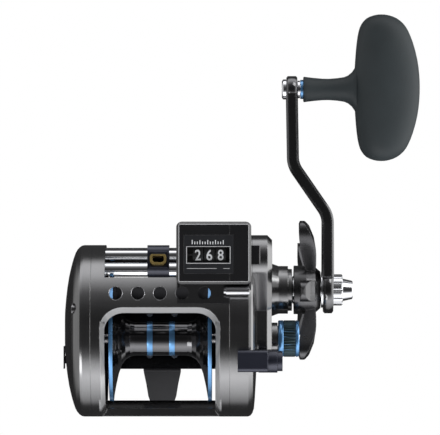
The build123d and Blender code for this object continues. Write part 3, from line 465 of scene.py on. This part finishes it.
def add_figure(text, x, z, body):
    """Raised figure, scaled to the set height and centred on (x, FIGURE_Y)."""
    name = "figure_" + body
    curve = bpy.data.curves.new(name, "FONT")
    curve.body = text
    curve.size = FIGURE_HEIGHT / CAPITAL_SHARE
    curve.extrude = 0.00006
    curve.offset = 0.00009
    curve.align_x = "CENTER"
    curve.align_y = "CENTER"
    outline = link_object(name, curve)
    bpy.context.view_layer.update()
    depsgraph = bpy.context.evaluated_depsgraph_get()
    mesh = bpy.data.meshes.new_from_object(outline.evaluated_get(depsgraph))
    bpy.data.objects.remove(outline)

    xs = [vertex.co.x for vertex in mesh.vertices]
    ys = [vertex.co.y for vertex in mesh.vertices]
    middle_x, middle_y = (min(xs) + max(xs)) / 2, (min(ys) + max(ys)) / 2
    scale_x = min(1.0, FIGURE_MAX_WIDTH / (max(xs) - min(xs)))
    scale_y = FIGURE_HEIGHT / (max(ys) - min(ys))
    for vertex in mesh.vertices:
        vertex.co = Vector(((vertex.co.x - middle_x) * scale_x + x,
                            (vertex.co.y - middle_y) * scale_y + FIGURE_Y,
                            vertex.co.z + z))
    mesh.materials.clear()
    mesh.materials.append(MATERIALS["ink"])
    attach(link_object(name, mesh), body)


def build_figures():
    wheel_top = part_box("tens_wheel")[1][2]
    for text, x, body in FIGURES:
        add_figure(text, x, wheel_top + FIGURE_LIFT, body)


# ---------------------------------------------------------------- counter face bars, mm: painted edge highlights, rules and scale ticks
BAR_BASE_Z = 87.0 - 0.04
BAR_HEIGHT = 0.08
BAR_BEVEL = 0.06
# name, x from, x to, y from, y to
# the window edge and face edge bars are painted highlights along the edges of the counter's window
# and face
EDGE_HIGHLIGHT_AND_RULE_BARS = [
    ("panel_rule_a", 12.6, 26.5, 33.75, 34.05), ("panel_rule_b", 29.5, 32.5, 33.75, 34.05),
    ("window_edge_highlight_0", 12.3, 32.9, 43.9, 44.2), ("window_edge_highlight_1", 12.3, 32.9, 36.1, 36.5),
    ("window_edge_highlight_2", 12.3, 12.7, 36.5, 43.9), ("window_edge_highlight_3", 32.5, 32.9, 36.5, 43.9),
    ("face_edge_highlight_w", 8.75, 9.1, 28.0, 54.2), ("face_edge_highlight_e", 41.1, 41.45, 28.0, 54.2),
    ("face_edge_highlight_s", 9.1, 41.1, 27.65, 28.0), ("face_edge_highlight_n", 9.1, 41.1, 54.2, 54.55),
]
TICK_COUNT = 13
TICK_START_X, TICK_PITCH, TICK_WIDTH = 14.9, 1.2, 0.42
TICK_FOOT_Y, TICK_LONG_Y, TICK_SHORT_Y = 45.1, 47.1, 46.4  # every third tick is long


def add_bar(name, x0, x1, y0, y1, material):
    """Thin bar with a bevelled top."""
    vertices = []
    for inset, z in ((0, BAR_BASE_Z), (BAR_BEVEL, BAR_BASE_Z + BAR_HEIGHT)):
        left, right, near, far = x0 + inset, x1 - inset, y0 + inset, y1 - inset
        for x, y in ((left, near), (right, near), (right, far), (left, far)):
            vertices.append((x / 1000, y / 1000, z / 1000))
    faces = [(0, 3, 2, 1), (4, 5, 6, 7), (0, 1, 5, 4), (1, 2, 6, 5), (2, 3, 7, 6), (3, 0, 4, 7)]
    add_piece(name, vertices, faces, material, "frame", smooth=False)


def build_counter_highlights_and_print():
    # light grey bars, the edge ones being painted highlights, then the printed scale ticks
    for name, *extent in EDGE_HIGHLIGHT_AND_RULE_BARS:
        add_bar(name, *extent, "rim")
    for i in range(TICK_COUNT):
        x = TICK_START_X + i * TICK_PITCH
        end_y = TICK_LONG_Y if i % 3 == 0 else TICK_SHORT_Y
        add_bar(f"scale_tick_{i}", x, x + TICK_WIDTH, TICK_FOOT_Y, end_y, "ink")


# ---------------------------------------------------------------- top plate hole edges: painted highlight rings, mm
HOLE_COUNT = 5
HOLE_PITCH = 10.35
HOLE_Y = 22.2
HOLE_EDGE = [(3.02, 0.02), (3.14, 0.07), (3.3, 0.02)]  # (radius, height above the plate)
HOLE_STEPS = 64


def build_hole_highlight_rings():
    """Fine bright steel ring round each hole, a painted highlight on the hole's edge, following the
    plate's surface.
    """
    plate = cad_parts["frame"]
    to_local = plate.matrix_world.inverted()
    down = to_local.to_3x3() @ Vector((0, 0, -1))
    outer_radius = HOLE_EDGE[-1][0]
    for hole in range(HOLE_COUNT):
        hole_x = (hole - HOLE_COUNT // 2) * HOLE_PITCH
        vertices = []
        for step in range(HOLE_STEPS):
            angle = math.tau * step / HOLE_STEPS

            def around(radius):
                return ((hole_x + radius * math.cos(angle)) / 1000,
                        (HOLE_Y + radius * math.sin(angle)) / 1000)

            # drop a ray from above onto the plate; 0.076 m stands in where it misses
            start = to_local @ Vector((*around(outer_radius), 0.2))
            hit, place, _, _ = plate.ray_cast(start, down)
            plate_z = (plate.matrix_world @ place).z if hit else 0.076
            for radius, height in HOLE_EDGE:
                vertices.append((*around(radius), plate_z + height / 1000))
        faces = grid_faces(HOLE_STEPS, len(HOLE_EDGE), close_columns=False)
        # steel ring as a painted highlight where the gunmetal hole edge catches light
        add_piece(f"hole_highlight_ring_{hole}", vertices, faces, "steel", "frame")


# ---------------------------------------------------------------- floor, world, lights, camera
FLOOR_REACH = 3.0
FLOOR_Z = -0.002
# sky brightness by angle about X, degrees: 0 is straight up, 90 is +Y, -90 is -Y
SKY_STOPS = [
    (-180, .01), (-114, .02), (-104, .3), (-78, .7), (-55, 1.0), (-36, .5), (-24, .1),
    (-11, .02), (6, .015), (24, .03), (48, .1), (62, .35), (78, .7), (98, .8), (112, .05),
    (180, .01),
]
LIGHT_TARGET = (0.03, 0.05, 0.04)
CAMERA_DISTANCE = 1.8  # above the spool axis
VIEW_WIDTH = 0.209  # what the picture spans at that distance
SENSOR_WIDTH = 36.0


def build_floor():
    """Pale floor that the camera sees as plain white and that lights nothing."""
    tree = new_material("floor_pale")
    pale = tree.nodes["Principled BSDF"]
    plug(tree, pale, {"Base Color": (0.8, 0.8, 0.8, 1), "Roughness": 0.9})
    white = add_node(tree, "Emission", {"Strength": 1.0})
    rays = add_node(tree, "LightPath")
    mix = add_node(tree, "MixShader", {
        "Fac": rays.outputs["Is Camera Ray"], 1: pale.outputs[0], 2: white.outputs[0]})
    plug(tree, tree.nodes["Material Output"], {"Surface": mix.outputs[0]})

    mesh = bpy.data.meshes.new("floor")
    corners = [(x * FLOOR_REACH, y * FLOOR_REACH, FLOOR_Z)
               for x, y in ((-1, -1), (1, -1), (1, 1), (-1, 1))]
    mesh.from_pydata(corners, [], [(0, 1, 2, 3)])
    mesh.materials.append(MATERIALS["floor_pale"])
    floor = link_object("floor", mesh)
    floor.visible_glossy = False
    floor.visible_diffuse = False


def build_world():
    """Banded sky round the X axis, fading to plain bright ends toward +X and -X."""
    world = bpy.context.scene.world or bpy.data.worlds.new("World")
    bpy.context.scene.world = world
    world.use_nodes = True
    tree = world.node_tree
    tree.nodes.clear()
    output = add_node(tree, "OutputWorld")
    background = add_node(tree, "Background", {"Strength": 2.3})
    coordinates = add_node(tree, "TexCoord")
    direction = add_node(tree, "SeparateXYZ", {0: coordinates.outputs["Generated"]}).outputs

    turn = math_node(tree, "ARCTAN2", direction["Y"], direction["Z"])
    turn = map_range(tree, turn, start=-math.pi, end=math.pi)
    bands = add_node(tree, "ValToRGB", {"Fac": turn})
    elements = bands.color_ramp.elements
    elements.remove(elements[-1])
    for i, (angle, level) in enumerate(SKY_STOPS):
        stop = elements.new((angle + 180) / 360) if i else elements[0]
        stop.color = (level, level, level * 1.02, 1)

    sideways = math_node(tree, "ABSOLUTE", direction["X"])
    end_share = map_range(tree, sideways, start=0.55, end=0.92, interpolation_type="SMOOTHSTEP")
    # the +X end is the brighter one
    end_level = map_range(tree, direction["X"], start=-0.2, end=0.2, low=0.28, high=0.95)
    sky = mix_colour(tree, end_share, bands.outputs["Color"], end_level)
    plug(tree, background, {"Color": sky})
    plug(tree, output, {"Surface": background.outputs[0]})


def add_area_light(name, location, size, power):
    light = bpy.data.lights.new(name, "AREA")
    light.size = size
    light.energy = power
    lamp = link_object(name, light)
    lamp.location = location
    aim = Vector(LIGHT_TARGET) - Vector(location)
    lamp.rotation_euler = aim.to_track_quat("-Z", "Y").to_euler()


def build_camera():
    """Camera looking straight down."""
    data = bpy.data.cameras.new("camera")
    data.sensor_width = SENSOR_WIDTH
    data.lens = SENSOR_WIDTH * CAMERA_DISTANCE / VIEW_WIDTH
    data.clip_end = 20
    camera = link_object("camera", data)
    camera.location = (0.028, 0.0575, SPOOL_Z + CAMERA_DISTANCE)
    bpy.context.scene.camera = camera


make_materials()
dress_loaded_pieces()
build_grip()
build_crank()
build_tension_knob()
build_spool_bands()
build_figures()
build_counter_highlights_and_print()
build_hole_highlight_rings()
build_floor()
build_world()
add_area_light("key", location=(-0.5, -0.7, 0.9), size=0.5, power=3.0)
add_area_light("fill", location=(0.6, 0.9, 0.7), size=0.5, power=3.0)
build_camera()
bpy.context.scene.view_settings.view_transform = "Standard"
